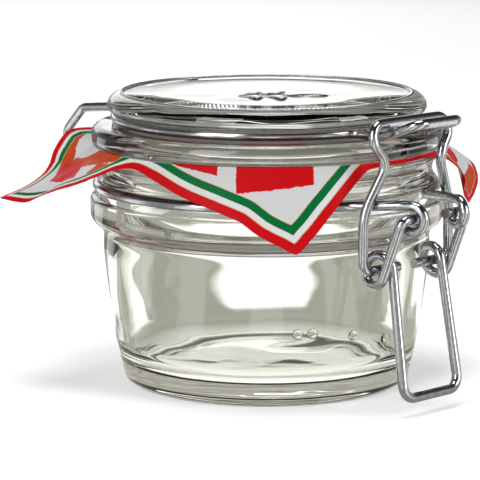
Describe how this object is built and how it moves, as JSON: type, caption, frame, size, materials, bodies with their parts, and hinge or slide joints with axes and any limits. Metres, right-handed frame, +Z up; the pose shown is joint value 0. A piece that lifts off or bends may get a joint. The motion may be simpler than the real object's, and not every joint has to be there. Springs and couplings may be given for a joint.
{
  "type": "preserving jar",
  "caption": "Small clip-top preserving jar: tapered glass jar, glass lid on a rubber ring, wire bands with hinge and over-centre lever, striped film kerchief under the lid.",
  "frame": {"origin": "middle of the ring that the jar stands on, at the level of the table", "axes": "+Z up along the jar's axis; the hinge is at +Y and the lever closure at -Y; +X to the right when the closure faces the viewer"},
  "size_m": [0.0987, 0.1193, 0.0703],
  "materials": {
    "glass": "clear moulded glass",
    "rubber_ring": "red-brown rubber",
    "printed_film": "thin film with a red, white and green striped border",
    "steel_wire": "bright drawn steel wire"
  },
  "bodies": {
    "jar": {"jar_glass": "glass", "neck_wire": "steel_wire"},
    "lid": {"lid_glass": "glass", "lid_wire": "steel_wire", "gasket": "rubber_ring", "kerchief": "printed_film"},
    "lever": {"bail_lever": "steel_wire"},
    "link": {"bail_link": "steel_wire"}
  },
  "joints": [
    {"name": "lid_hinge", "type": "hinge", "parent": "jar", "child": "lid", "pos_m": [0, 0.0545, 0.0466], "axis": [-1, 0, 0], "range_deg": [0, 105]},
    {"name": "lever_swing", "type": "hinge", "parent": "jar", "child": "lever", "pos_m": [0, -0.0543, 0.0461], "axis": [-1, 0, 0], "range_deg": [0, 63.5]},
    {"name": "link_swing", "type": "hinge", "parent": "lever", "child": "link", "pos_m": [0, -0.0456, 0.0335], "axis": [1, 0, 0], "range_deg": [0, 143.5]}
  ],
  "couplings": [
    {"joint": "lever_swing", "follows": "lid_hinge", "ratio": 0.6},
    {"joint": "link_swing", "follows": "lid_hinge", "ratio": 1.36}
  ]
}
